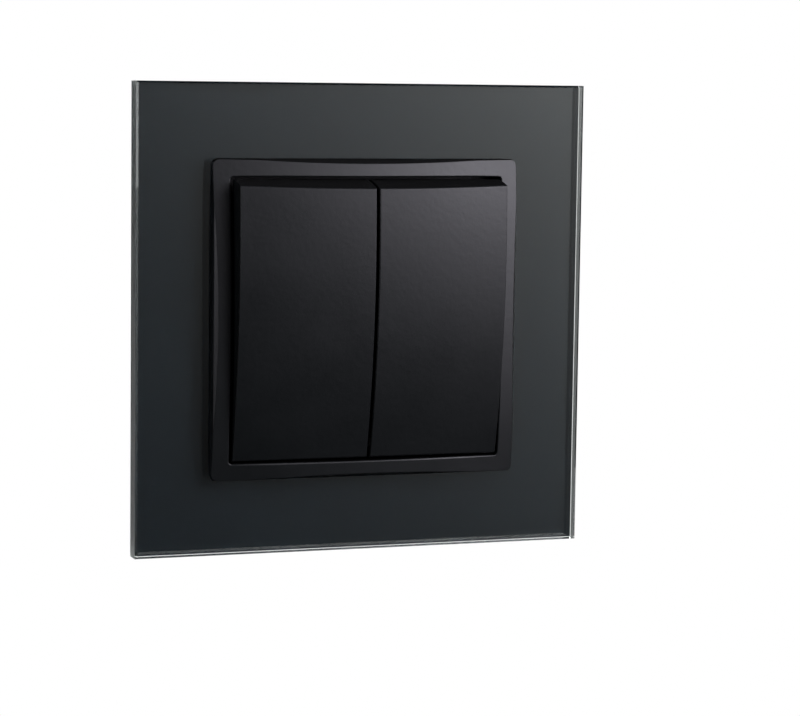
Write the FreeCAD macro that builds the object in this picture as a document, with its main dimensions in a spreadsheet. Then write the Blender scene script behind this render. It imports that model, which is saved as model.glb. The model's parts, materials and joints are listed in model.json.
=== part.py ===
import FreeCAD, Part
import math
import os

import Sketcher

# Two-gang rocker light switch in a square glass frame, millimetres.
# X runs to the right, Z up, and the front of the switch faces -Y.
# The wall plane is Y = 0. Depths below are counted from it: positive towards
# the room (which is -Y), negative into the wall box.

Vector = FreeCAD.Vector
Rotation = FreeCAD.Rotation
Placement = FreeCAD.Placement

doc = FreeCAD.newDocument("light_switch")
sheet = doc.addObject("Spreadsheet::Sheet", "sizes")


class Size:
    """A number together with the spreadsheet expression that it comes from."""

    def __init__(self, number, text):
        self.number = number
        self.text = text

    def __add__(self, other):
        other = as_size(other)
        return Size(self.number + other.number, "(%s + %s)" % (self.text, other.text))

    def __sub__(self, other):
        other = as_size(other)
        return Size(self.number - other.number, "(%s - %s)" % (self.text, other.text))

    def __mul__(self, other):
        other = as_size(other)
        return Size(self.number * other.number, "(%s * %s)" % (self.text, other.text))

    def __truediv__(self, other):
        other = as_size(other)
        return Size(self.number / other.number, "(%s / %s)" % (self.text, other.text))

    def __neg__(self):
        return Size(-self.number, "(0 - %s)" % self.text)

    __rmul__ = __mul__


def as_size(value):
    if isinstance(value, Size):
        return value
    return Size(float(value), "%.6g" % value)


def root(value):
    return Size(math.sqrt(value.number), "sqrt(%s)" % value.text)


VALUES = [
    # Glass front
    ("plate_side", 90.0, "outer width and height of the glass"),
    ("glass_thick", 4.0, "glass"),
    ("glass_chamfer", 0.4, "polished bevel round the front edge"),
    ("glass_hole_play", 0.3, "collar to glass hole, each side"),
    ("glass_hole_radius", 3.0, "corner of that hole"),
    ("film_thick", 0.35, "opaque layer behind the glass"),
    ("film_hole_step", 0.4, "layer ends this far outside the glass hole"),
    ("film_inset", 0.1, "layer stops this far inside the glass edge"),
    ("tape_thick", 0.6, "adhesive foam ring"),
    ("tape_inset", 1.0, "foam ring stops this far inside the carrier"),
    ("tape_step", 1.5, "foam ring starts this far outside the carrier opening"),
    # Carrier behind the glass
    ("carrier_ring_gap", 3.8, "inside of its wall to the support ring"),
    ("carrier_deep", 5.05, "wall plane to its front"),
    ("carrier_wall", 2.2, "outer wall"),
    ("carrier_web", 1.6, "front web"),
    ("carrier_hole_play", 0.6, "collar to carrier opening, each side"),
    ("post_radius", 1.9, "locating post"),
    ("post_inset", 3.5, "post centre from the edge of the support ring"),
    ("post_end_gap", 0.1, "post end to wall plane"),
    ("carrier_rib", 1.2, "stiffening rib"),
    ("carrier_rib_place", 20.0, "stiffening rib from the middle of a side"),
    ("carrier_rib_gap", 0.4, "stiffening rib to the support ring"),
    ("carrier_corner", 2.0, "outer corner radius"),
    ("sink", 0.1, "how far a pad starts inside what it grows from"),
    # Bezel
    ("bezel_band", 3.4, "base outline beyond the opening, each side"),
    ("bezel_dome_radius", 260.0, "sphere that forms the face"),
    ("bezel_dome_top", 4.4, "sphere top above the glass"),
    ("bezel_corner", 1.3, "outer corner radius"),
    ("bezel_inner_corner", 0.6, "inner corner radius"),
    ("bezel_draft", 8.0, "degrees the outer wall leans in"),
    ("bevel_start", 1.75, "height of the outer bevel at the middle of a side"),
    ("bevel_radius", 3000.0, "the bevel falls towards the corners on this arc"),
    ("bevel_run", 1.33, "bevel slope, inwards"),
    ("bevel_rise", 1.9, "bevel slope, upwards"),
    ("bezel_edge", 0.15, "broken inner edge"),
    ("ledge_play", 0.3, "ledge inside the collar to the skirts of the rockers"),
    ("ledge_thick", 1.0, "that ledge"),
    ("ledge_reach", 2.0, "that ledge, inwards"),
    ("collar_wall", 1.65, "collar in the glass hole"),
    ("collar_end", 0.85, "collar ends this far behind the carrier front"),
    ("hook_place", 15.0, "hook centre along each side"),
    ("hook_width", 7.0, "hook width"),
    ("hook_clear", 1.1, "hook end to the support ring"),
    ("hook_reach", 1.4, "barb beyond the collar"),
    ("hook_gap", 0.1, "barb to web"),
    ("hook_barb", 0.9, "barb height"),
    # Rockers, seen from their own pivot
    ("pivot_depth", 8.5, "pivot axis in front of the wall plane"),
    ("rest_tilt", 4.75, "degrees that a rocker leans, top out"),
    ("rocker_gap", 0.6, "between the two rockers"),
    ("rocker_width", 26.35, "one rocker"),
    ("rocker_side_gap", 0.6, "rocker to the side of the opening"),
    ("rocker_end_gap", 0.35, "rocker to the top and bottom of the opening"),
    ("rocker_edge", 5.55, "face edge above the pivot"),
    ("rocker_face_radius", 180.9, "curve of the face from top to bottom"),
    ("rocker_crown_radius", 237.0, "curve of both faces together, from side to side"),
    ("rocker_skirt", 0.5, "skirt end above the pivot"),
    ("rocker_wall", 1.4, "side wall"),
    ("rocker_end_wall", 1.85, "end wall"),
    ("rocker_skin", 1.8, "face thickness"),
    ("rocker_bevel", 0.15, "broken edge round the face"),
    ("notch_side_play", 1.7, "notch in the skirt to the middle bearing, each side"),
    ("notch_top_play", 1.1, "notch in the skirt to the top of that bearing"),
    ("rocker_rib_place", 6.0, "cross rib from the middle"),
    ("rocker_rib", 1.0, "cross rib thickness"),
    ("rocker_rib_width", 14.0, "cross rib length"),
    ("clip_place", 11.4, "clip from the middle"),
    ("clip_thick", 1.2, "clip leg"),
    ("clip_width", 5.6, "clip leg"),
    ("clip_reach", 0.55, "clip barb beyond its leg"),
    ("clip_barb", 0.8, "clip barb height"),
    ("clip_nose", 0.5, "slanted part of the barb"),
    ("clip_play", 0.1, "clip barb to the cradle plate"),
    # Cradles
    ("cradle_start", 3.2, "inner edge of a cradle from the middle"),
    ("cradle_width", 16.0, "cradle"),
    ("cradle_half", 17.0, "cradle half height"),
    ("cradle_back", 2.2, "cradle plate back above the pivot"),
    ("cradle_plate", 1.6, "cradle plate"),
    ("cradle_ear", 1.4, "bearing ear thickness"),
    ("cradle_ear_half", 2.2, "bearing ear half height"),
    ("cradle_ear_end", 1.8, "bearing ear end below the pivot"),
    ("trunnion_radius", 1.5, "trunnion"),
    ("trunnion_play", 0.05, "trunnion to bearing, radially"),
    ("trunnion_reach", 1.7, "trunnion length"),
    ("window_play", 0.2, "clip to its window, up and down"),
    ("window_side_play", 0.4, "clip to its window, sideways"),
    ("boss_radius", 3.4, "plunger guide outside"),
    ("boss_end", 4.5, "plunger guide end below the pivot"),
    ("bore_radius", 2.05, "plunger guide bore"),
    ("bore_top", 3.0, "bore bottom above the pivot"),
    # Plungers and their springs
    ("plunger_radius", 2.0, "plunger"),
    ("plunger_lift", 0.05, "tip to the lever when both stand level"),
    ("plunger_shoulder", 3.0, "spring seat below the pivot"),
    ("stem_radius", 0.8, "stem inside the spring"),
    ("stem_end", 1.0, "stem end below the pivot"),
    ("coil_radius", 1.5, "spring centre line"),
    ("coil_wire", 0.2, "spring wire radius"),
    ("coil_pitch", 1.08, "spring pitch"),
    ("coil_turns", 5.0, "spring turns"),
    ("coil_start", 2.72, "first wire centre below the pivot"),
    # Contact levers
    ("fulcrum_depth", 4.75, "lever axis behind the wall plane"),
    ("lever_tilt", 5.7, "degrees that a lever leans, upper end in"),
    ("lever_lift", 0.15, "lever underside above its axis"),
    ("lever_thick", 1.0, "lever strip"),
    ("lever_half", 10.0, "lever half length"),
    ("lever_width", 8.0, "lever strip"),
    ("lever_guide", 0.8, "guide flange thickness"),
    ("lever_guide_rise", 1.25, "guide flange height"),
    ("lever_guide_half", 3.0, "guide flange half length"),
    ("tip_radius", 1.6, "contact rivet"),
    ("tip_place", 8.2, "contact rivet from the lever axis"),
    ("tip_height", 0.7, "moving contact rivet"),
    ("fixed_tip_drop", 1.65, "fixed contact rivet face behind the lever axis"),
    # Bars and terminals
    ("bar_depth", 8.6, "bar back, behind the wall plane"),
    ("bar_thick", 0.8, "bar sheet"),
    ("common_margin", 0.3, "common bar beyond its legs"),
    ("common_play", 0.2, "common bar to the ends of its channel"),
    ("common_low", 3.0, "common bar below the axis"),
    ("leg_play", 0.1, "clamp leg to the inner wall of its pocket"),
    ("leg_clear", 0.5, "clamp leg end to the pocket floor"),
    ("leg_half", 3.5, "clamp leg half width"),
    ("fulcrum_base_half", 1.6, "fulcrum foot half height"),
    ("fulcrum_tip_half", 0.15, "fulcrum edge half height"),
    ("fulcrum_gap", 0.05, "fulcrum edge behind the lever axis"),
    ("fulcrum_width", 6.0, "fulcrum length"),
    ("output_half", 3.8, "output bar half width"),
    ("output_low", 11.0, "output bar lower edge"),
    ("output_high", 5.0, "output bar upper edge"),
    ("wire_play", 0.35, "wire entry to clamp leg"),
    ("wire_radius", 1.35, "wire entry"),
    ("clamp_sheet", 0.5, "clamp spring sheet"),
    ("clamp_width", 6.0, "clamp spring"),
    ("clamp_top", 1.6, "clamp spring to the back of the bars"),
    ("clamp_bend", 1.6, "bend of a clamp spring"),
    ("clamp_play", 0.2, "clamp spring to the outer wall"),
    ("clamp_contact", 0.15, "clamp spring tip to the bar leg"),
    ("clamp_tip", 4.5, "clamp spring tip before the end of the leg"),
    ("clamp_tail", 2.5, "clamp spring tail before the end of the leg"),
    ("release_wall", 0.85, "wall between wire entry and release slide"),
    ("release_thick", 2.4, "release slide"),
    ("release_half", 2.5, "release slide half width"),
    ("release_nose", 6.6, "release slide nose behind the bars"),
    ("release_proud", 1.3, "release slide stands out at the rear"),
    ("release_play", 0.1, "release slide to its hole"),
    ("collar_clear", 1.1, "stop collar to the outer wall"),
    ("collar_half", 3.2, "stop collar half width"),
    ("collar_long", 1.5, "stop collar length"),
    ("collar_play", 0.1, "stop collar to the rear wall"),
    # Insulating base
    ("base_gap", 2.4, "claw hinge axis to the base"),
    ("release_room", 2.0, "release slide to the outer wall"),
    ("rear_wall", 3.0, "rear wall of the base"),
    ("base_cut", 4.0, "base corner chamfer"),
    ("flange_margin", 1.8, "flange beyond the rivet centres"),
    ("flange_thick", 2.0, "flange"),
    ("flange_cut", 5.0, "flange corner chamfer"),
    ("rim_play", 0.3, "rim to the opening of the ring"),
    ("room_start", 1.8, "switch room, inner side from the middle"),
    ("room_wall_x", 3.8, "outer wall of a switch room, sideways"),
    ("room_wall_z", 2.6, "outer wall of a switch room, up and down"),
    ("pocket_start", 7.6, "terminal pocket from the middle"),
    ("pocket_half", 4.2, "terminal pocket half width"),
    ("pocket_deep", 24.0, "terminal pocket floor behind the wall plane"),
    ("rivet_x", 9.0, "rivet centre sideways"),
    ("rivet_clear", 0.5, "rivet head to the base"),
    ("rivet_radius", 1.0, "rivet shank"),
    ("rivet_play", 0.05, "rivet hole play"),
    ("rivet_head", 1.7, "rivet head radius"),
    ("rivet_head_thick", 0.6, "rivet head"),
    # Support ring
    ("ring_side", 71.0, "support ring"),
    ("ring_thick", 1.2, "support ring sheet"),
    ("ring_corner", 4.0, "support ring corner radius"),
    ("ring_ledge", 1.0, "ring reaches over the base, sideways"),
    ("ring_ledge_z", 0.4, "ring reaches over the base, up and down"),
    ("screw_place", 30.0, "mounting hole from the middle, 60 mm box spacing"),
    ("screw_hole", 2.05, "round mounting hole left and right"),
    ("slot_half", 2.6, "half the straight part of the slots above and below"),
    ("slot_radius", 1.9, "slot half width"),
    ("post_play", 0.2, "post hole play"),
    ("claw_arm", 2.6, "claw screw outside the claw hinge"),
    ("hinge_deep", 3.2, "claw hinge behind the wall plane"),
    ("hinge_ear_play", 0.2, "hinge ear to the barrel of the claw"),
    ("hinge_ear", 1.0, "hinge ear sheet"),
    ("hinge_ear_half", 1.2, "hinge ear half width"),
    ("hinge_ear_end", 6.0, "hinge ear end behind the wall plane"),
    ("hinge_pin", 0.9, "claw hinge pin radius"),
    ("hinge_play", 0.05, "claw hinge play"),
    # Cover
    ("cover_edge", 0.1, "cover beyond the outer bearings"),
    ("cover_margin", 2.4, "cover beyond the rivet centres"),
    ("cover_thick", 3.2, "cover plate"),
    ("cover_corner", 2.0, "cover corner radius"),
    ("cover_window_play_x", 0.9, "window to the plunger guide, sideways"),
    ("cover_window_play_z", 1.8, "window to the plunger guide, up and down"),
    ("lug_middle_gap", 0.5, "middle bearing to a cradle"),
    ("lug_outer_gap", 0.3, "outer bearing to a cradle"),
    ("lug_outer", 2.0, "outer bearing thickness"),
    ("lug_half", 2.9, "bearing half height"),
    ("lug_rise", 2.2, "bearing top in front of the pivot axis"),
    ("stop_long", 2.0, "stop block under each end of a cradle"),
    ("stop_half", 3.0, "stop block half width"),
    ("stop_rise", 0.7, "stop block top in front of the pivot axis"),
    # Claws and their screws
    ("claw_leg_edge", 1.3, "screw leg beyond its slot"),
    ("claw_half", 7.4, "claw half height"),
    ("claw_sheet", 1.2, "claw sheet"),
    ("claw_slot_in", 1.7, "screw slot, inwards from the screw axis"),
    ("claw_slot_out", 2.3, "screw slot, outwards from the screw axis"),
    ("claw_slot_play", 0.3, "screw slot to the screw, up and down"),
    ("prong_inner", 3.6, "inner side of a prong"),
    ("prong_long", 14.0, "prong"),
    ("prong_back", 0.7, "prong inner face behind the hinge axis"),
    ("tooth_reach", 2.8, "tooth from the hinge axis"),
    ("tooth_deep", 1.0, "tooth"),
    ("barrel_radius", 1.1, "hinge barrel"),
    ("barrel_start", 3.0, "hinge barrel from the middle"),
    ("barrel_step", 0.5, "hinge barrel beyond the claw"),
    ("claw_pin_short", 0.1, "claw hinge pin ends inside its ear"),
    ("claw_screw_gap", 0.9, "claw screw head to the cover"),
    ("claw_screw_radius", 1.45, "claw screw thread"),
    ("claw_screw_play", 0.25, "claw screw to its hole in the ring"),
    ("claw_screw_long", 10.0, "claw screw below its head"),
    ("claw_head_radius", 2.5, "claw screw head"),
    ("claw_head_thick", 1.7, "claw screw head"),
    ("claw_head_slot", 0.4, "half width of the driver slot"),
    ("claw_head_slot_deep", 0.9, "driver slot"),
]

NAMED = {}
for row, (alias, number, note) in enumerate(VALUES, start=1):
    sheet.set("A%d" % row, note)
    sheet.set("B%d" % row, "%.6g" % number)
    sheet.setAlias("B%d" % row, alias)
    NAMED[alias] = Size(number, "sizes." + alias)
doc.recompute()


def size(alias):
    return NAMED[alias]


# Depths, each counted from the wall plane
ZERO = as_size(0)
TAPE_BACK = size("carrier_deep")
FILM_BACK = TAPE_BACK + size("tape_thick")
GLASS_BACK = FILM_BACK + size("film_thick")
GLASS_FRONT = GLASS_BACK + size("glass_thick")
BEZEL_TOP = GLASS_FRONT + size("bezel_dome_top")
BEZEL_STOCK = size("bezel_dome_top") + 0.2
WEB_BACK = size("carrier_deep") - size("carrier_web")
COLLAR_END = size("carrier_deep") - size("collar_end")
HOOK_END = size("ring_thick") + size("hook_clear")
COVER_FRONT = size("ring_thick") + size("cover_thick")
BASE_REAR = size("pocket_deep") + size("rear_wall")

# Front, from the rockers outwards
ROCKER_X = (size("rocker_gap") + size("rocker_width")) / 2
BEZEL_OPEN = size("rocker_gap") + (size("rocker_width") + size("rocker_side_gap")) * 2
BEZEL_SIDE = BEZEL_OPEN + size("bezel_band") * 2
ROCKER_RADIUS = BEZEL_OPEN / 2 - size("rocker_end_gap")
COLLAR_SIDE = BEZEL_OPEN + size("collar_wall") * 2
GLASS_HOLE = COLLAR_SIDE + size("glass_hole_play") * 2
FILM_HOLE = GLASS_HOLE + size("film_hole_step") * 2
CARRIER_HOLE = COLLAR_SIDE + size("carrier_hole_play") * 2
CARRIER_SIDE = size("ring_side") + (size("carrier_ring_gap") + size("carrier_wall")) * 2
POST_PLACE = size("ring_side") / 2 - size("post_inset")
REST_SLOPE = math.sin(math.radians(size("rest_tilt").number))
LEDGE_FRONT = (size("pivot_depth") + size("rocker_skirt") - ROCKER_RADIUS * REST_SLOPE
               - size("ledge_play"))
LEDGE_BACK = LEDGE_FRONT - size("ledge_thick")

# Mechanism, from the cradles outwards
GANG_X = size("cradle_start") + size("cradle_width") / 2
CRADLE_END = size("cradle_start") + size("cradle_width")
LUG_OUTER = CRADLE_END + size("lug_outer_gap")
LUG_END = LUG_OUTER + size("lug_outer")
COVER_HALF_X = LUG_END + size("cover_edge")
CLAW_SCREW_X = COVER_HALF_X + size("claw_screw_gap") + size("claw_head_radius")
HINGE_X = CLAW_SCREW_X - size("claw_arm")
BASE_HALF_X = HINGE_X - size("base_gap")
LEG_PLACE = size("pocket_start") + size("leg_play")
LEG_FAR = LEG_PLACE + size("bar_thick")
WIRE_PLACE = LEG_FAR + size("wire_play") + size("wire_radius")
RELEASE_NEAR = WIRE_PLACE + size("wire_radius") + size("release_wall")
RELEASE_FAR = RELEASE_NEAR + size("release_thick")
ROOM_END = BASE_HALF_X - size("room_wall_x")
ROOM_HALF_Z = RELEASE_FAR + size("release_room")
BASE_HALF_Z = ROOM_HALF_Z + size("room_wall_z")
RING_HALF_X = BASE_HALF_X - size("ring_ledge")
RING_HALF_Z = BASE_HALF_Z - size("ring_ledge_z")
RIVET_Z = BASE_HALF_Z + size("rivet_head") + size("rivet_clear")
FLANGE_HALF_Z = RIVET_Z + size("flange_margin")
COVER_HALF_Z = RIVET_Z + size("cover_margin")
BARREL_END = size("claw_half") + size("barrel_step")
EAR_START = BARREL_END + size("hinge_ear_play")
PIN_END = EAR_START + size("hinge_ear") - size("claw_pin_short")

# Rocker and cradle, counted from their pivot
FACE_RADIUS = size("rocker_face_radius")
EDGE_Z = root(ROCKER_RADIUS * ROCKER_RADIUS - size("rocker_edge") * size("rocker_edge"))
FACE_TOP = size("rocker_edge") + FACE_RADIUS - root(FACE_RADIUS * FACE_RADIUS - EDGE_Z * EDGE_Z)
FACE_SIDE = size("rocker_gap") / 2 + size("rocker_width")
CROWN_RADIUS = size("rocker_crown_radius")
CROWN_TOP = FACE_TOP + CROWN_RADIUS - root(CROWN_RADIUS * CROWN_RADIUS - FACE_SIDE * FACE_SIDE)
CLIP_ROOT = FACE_TOP - size("rocker_skin") + size("sink") / 2
CLIP_CATCH = size("cradle_back") - size("clip_play")
CLIP_END = CLIP_CATCH - size("clip_barb")
CLIP_FAR = size("clip_place") + size("clip_thick")
WINDOW_NEAR = size("clip_place") - size("window_play")
WINDOW_FAR = CLIP_FAR + size("clip_reach") + size("window_play")
WINDOW_HALF = size("clip_width") / 2 + size("window_side_play")

# Contacts and terminals
PLUNGER_TIP = (size("pivot_depth") + size("fulcrum_depth") - size("lever_lift")
               - size("lever_thick") - size("plunger_lift"))
BAR_FRONT = size("bar_depth") - size("bar_thick")
COMMON_HALF = GANG_X + size("leg_half") + size("common_margin")
LEG_END = size("pocket_deep") - size("leg_clear")
RELEASE_TOP = size("bar_depth") + size("release_nose")


def new_body(label):
    body = doc.addObject("PartDesign::Body", label)
    body.Label = label
    return body


def origin_feature(body, role):
    for feature in body.Origin.OriginFeatures:
        if feature.Role == role:
            return feature
    raise RuntimeError("no origin feature " + role)


def new_sketch(body, plane, offset):
    """A sketch on an origin plane of the body, moved along the plane normal."""
    sketch = body.newObject("Sketcher::SketchObject", body.Label + "_sketch")
    sketch.AttachmentSupport = [(origin_feature(body, plane), "")]
    sketch.MapMode = "FlatFace"
    offset = as_size(offset)
    sketch.AttachmentOffset = Placement(Vector(0, 0, offset.number), Rotation())
    sketch.setExpression("AttachmentOffset.Base.z", offset.text)
    return sketch


def front_sketch(body, depth):
    """Sketch seen from the room: x is X, y is Z, pads grow towards the room."""
    return new_sketch(body, "XZ_Plane", depth)


def hold(sketch, geometry, point, x, y):
    """Fixes one sketch point at its two distances from the origin."""
    for kind, value in (("DistanceX", as_size(x)), ("DistanceY", as_size(y))):
        link = Sketcher.Constraint(kind, -1, 1, geometry, point, value.number)
        index = sketch.addConstraint(link)
        sketch.setExpression("Constraints[%d]" % index, value.text)


def arc_middle(start, end, radius):
    """Point half way along an arc that bulges to the right of its travel."""
    chord = end - start
    half = chord.Length / 2
    rise = radius - math.sqrt(radius * radius - half * half)
    right = Vector(chord.y, -chord.x, 0).normalize()
    return (start + end) / 2 + right * rise


def outline(sketch, corners):
    """Closed outline. A corner with a third value starts an arc of that radius
    to the next corner, bulging to the right of the travel."""
    first = sketch.GeometryCount
    count = len(corners)
    points = [Vector(as_size(c[0]).number, as_size(c[1]).number, 0) for c in corners]
    for index, corner in enumerate(corners):
        start = points[index]
        end = points[(index + 1) % count]
        if len(corner) == 2:
            sketch.addGeometry(Part.LineSegment(start, end), False)
        else:
            middle = arc_middle(start, end, corner[2].number)
            sketch.addGeometry(Part.Arc(start, middle, end), False)
    for index in range(count):
        following = first + (index + 1) % count
        sketch.addConstraint(Sketcher.Constraint("Coincident", first + index, 2, following, 1))
    for index, corner in enumerate(corners):
        hold(sketch, first + index, 1, corner[0], corner[1])
        if len(corner) == 3:
            link = Sketcher.Constraint("Radius", first + index, corner[2].number)
            number = sketch.addConstraint(link)
            sketch.setExpression("Constraints[%d]" % number, corner[2].text)


def rectangle(sketch, left, bottom, right, top):
    outline(sketch, [(left, bottom), (right, bottom), (right, top), (left, top)])


def square(sketch, side):
    half = side / 2
    rectangle(sketch, -half, -half, half, half)


def circle(sketch, x, y, radius):
    place = Vector(as_size(x).number, as_size(y).number, 0)
    index = sketch.addGeometry(Part.Circle(place, Vector(0, 0, 1), radius.number), False)
    number = sketch.addConstraint(Sketcher.Constraint("Radius", index, radius.number))
    sketch.setExpression("Constraints[%d]" % number, radius.text)
    hold(sketch, index, 3, x, y)


def slot(sketch, x, y, half, radius):
    """An upright slot with round ends whose centres lie half above and below y."""
    x, y = as_size(x), as_size(y)
    low_point = Vector(x.number, (y - half).number, 0)
    high_point = Vector(x.number, (y + half).number, 0)
    side = Vector(radius.number, 0, 0)
    along = Vector(0, radius.number, 0)
    first = sketch.GeometryCount
    sketch.addGeometry([
        Part.LineSegment(low_point + side, high_point + side),
        Part.Arc(high_point + side, high_point + along, high_point - side),
        Part.LineSegment(high_point - side, low_point - side),
        Part.Arc(low_point - side, low_point - along, low_point + side),
    ], False)
    for index in range(4):
        link = Sketcher.Constraint("Tangent", first + index, 2, first + (index + 1) % 4, 1)
        sketch.addConstraint(link)
    number = sketch.addConstraint(Sketcher.Constraint("Radius", first + 1, radius.number))
    sketch.setExpression("Constraints[%d]" % number, radius.text)
    hold(sketch, first + 1, 3, x, y + half)
    hold(sketch, first + 3, 3, x, y - half)


def finish(body, feature):
    """Recomputes and stops on a feature that failed."""
    doc.recompute()
    bad = [word for word in feature.State if word in ("Invalid", "Error")]
    if bad or feature.Shape.isNull() or not feature.Shape.isValid():
        raise RuntimeError("%s: %s failed" % (body.Label, feature.Name))
    return feature


def pad(body, sketch, length, both_ways=False, taper=None):
    feature = body.newObject("PartDesign::Pad", body.Label + "_pad")
    feature.Profile = sketch
    feature.Length = length.number
    feature.setExpression("Length", length.text)
    feature.Midplane = both_ways
    if taper is not None:
        feature.TaperAngle = taper.number
        feature.setExpression("TaperAngle", taper.text)
    return finish(body, feature)


def pocket(body, sketch, length, both_ways=False):
    """Cuts from the sketch against its normal. A cut that removes nothing is an error."""
    before = body.Shape.Volume
    feature = body.newObject("PartDesign::Pocket", body.Label + "_pocket")
    feature.Profile = sketch
    feature.Length = length.number
    feature.setExpression("Length", length.text)
    feature.Midplane = both_ways
    finish(body, feature)
    if body.Shape.Volume > before - 1e-6:
        raise RuntimeError(body.Label + ": a pocket cut nothing")
    return feature


def turn(body, kind, sketch, axis, degrees, both_ways=False):
    feature = body.newObject("PartDesign::" + kind, body.Label + "_turned")
    feature.Profile = sketch
    feature.ReferenceAxis = axis
    feature.Angle = degrees
    feature.Midplane = both_ways
    return finish(body, feature)


def pattern(body, originals, kind, occurrences=4):
    """Repeats features round the Y axis, or mirrors them over the XY plane."""
    feature = body.newObject("PartDesign::" + kind, body.Label + "_repeat")
    feature.Originals = originals
    if kind == "PolarPattern":
        feature.Axis = (origin_feature(body, "Y_Axis"), [""])
        feature.Angle = 360
        feature.Occurrences = occurrences
    else:
        feature.MirrorPlane = (origin_feature(body, "XY_Plane"), [""])
    body.Tip = feature
    return finish(body, feature)


def break_edges(body, kind, amount, chooser):
    """Fillets or chamfers the edges of the present shape that the chooser accepts."""
    base = body.Tip
    names = []
    for index, edge in enumerate(base.Shape.Edges, start=1):
        if chooser(edge):
            names.append("Edge%d" % index)
    if not names:
        raise RuntimeError(body.Label + ": no edge to break")
    feature = body.newObject("PartDesign::" + kind, body.Label + "_edges")
    feature.Base = (base, names)
    alias = "Radius" if kind == "Fillet" else "Size"
    setattr(feature, alias, amount.number)
    feature.setExpression(alias, amount.text)
    return finish(body, feature)


def runs_along(edge, axis):
    """True for a straight edge that runs along one axis (0, 1 or 2) only."""
    change = edge.Vertexes[-1].Point - edge.Vertexes[0].Point
    others = [abs(change[i]) for i in range(3) if i != axis]
    straight = abs(edge.Length - change.Length) < 1e-6
    return straight and change.Length > 1e-6 and max(others) < 1e-6


def corner_of(width, height=None):
    """Chooser for the four edges along Y at the corners of a centred rectangle."""
    half_x = width.number / 2
    half_z = half_x if height is None else height.number / 2

    def choose(edge):
        if not runs_along(edge, 1):
            return False
        point = edge.Vertexes[0].Point
        return abs(abs(point.x) - half_x) < 1e-4 and abs(abs(point.z) - half_z) < 1e-4
    return choose


def place(item, x, depth, z, degrees=0.0, axis=Vector(1, 0, 0)):
    item.Placement = Placement(Vector(x, -depth, z), Rotation(axis, degrees))


def glass_panel():
    body = new_body("glass_panel")
    sketch = front_sketch(body, GLASS_BACK)
    square(sketch, size("plate_side"))
    pad(body, sketch, size("glass_thick"))
    sketch = front_sketch(body, GLASS_FRONT)
    square(sketch, GLASS_HOLE)
    pocket(body, sketch, size("glass_thick"))
    break_edges(body, "Fillet", size("glass_hole_radius"), corner_of(GLASS_HOLE))
    front = -GLASS_FRONT.number
    outside = size("plate_side").number / 2 - 0.01

    def front_rim(edge):
        box = edge.BoundBox
        flat = abs(box.YMin - front) < 1e-6 and abs(box.YMax - front) < 1e-6
        return flat and max(box.XMax, box.ZMax, -box.XMin, -box.ZMin) > outside
    break_edges(body, "Chamfer", size("glass_chamfer"), front_rim)
    return body


def flat_ring(label, back, thick, side, hole, corner):
    """A thin square ring behind the glass."""
    body = new_body(label)
    sketch = front_sketch(body, back)
    square(sketch, side)
    pad(body, sketch, thick)
    sketch = front_sketch(body, back + thick)
    square(sketch, hole)
    pocket(body, sketch, thick)
    break_edges(body, "Fillet", corner, corner_of(hole))
    return body


def frame_carrier():
    body = new_body("frame_carrier")
    deep = size("carrier_deep")
    sketch = front_sketch(body, ZERO)
    square(sketch, CARRIER_SIDE)
    pad(body, sketch, deep)
    break_edges(body, "Fillet", size("carrier_corner"), corner_of(CARRIER_SIDE))
    sketch = front_sketch(body, WEB_BACK)
    square(sketch, CARRIER_SIDE - size("carrier_wall") * 2)
    pocket(body, sketch, WEB_BACK)
    sketch = front_sketch(body, deep)
    square(sketch, CARRIER_HOLE)
    pocket(body, sketch, size("carrier_web"))
    gap = size("post_end_gap")
    centre = POST_PLACE
    for x_sign in (-1, 1):
        for z_sign in (-1, 1):
            sketch = front_sketch(body, gap)
            circle(sketch, centre * x_sign, centre * z_sign, size("post_radius"))
            pad(body, sketch, WEB_BACK - gap)
    wall_inside = CARRIER_SIDE / 2 - size("carrier_wall")
    rib_start = size("ring_side") / 2 + size("carrier_rib_gap")
    ribs = []
    half = size("carrier_rib") / 2
    for sign in (-1, 1):
        along = size("carrier_rib_place") * sign
        sketch = front_sketch(body, size("ring_thick"))
        rectangle(sketch, rib_start, along - half, wall_inside + size("sink"), along + half)
        ribs.append(pad(body, sketch, WEB_BACK - size("ring_thick")))
    pattern(body, ribs, "PolarPattern")
    return body


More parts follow.
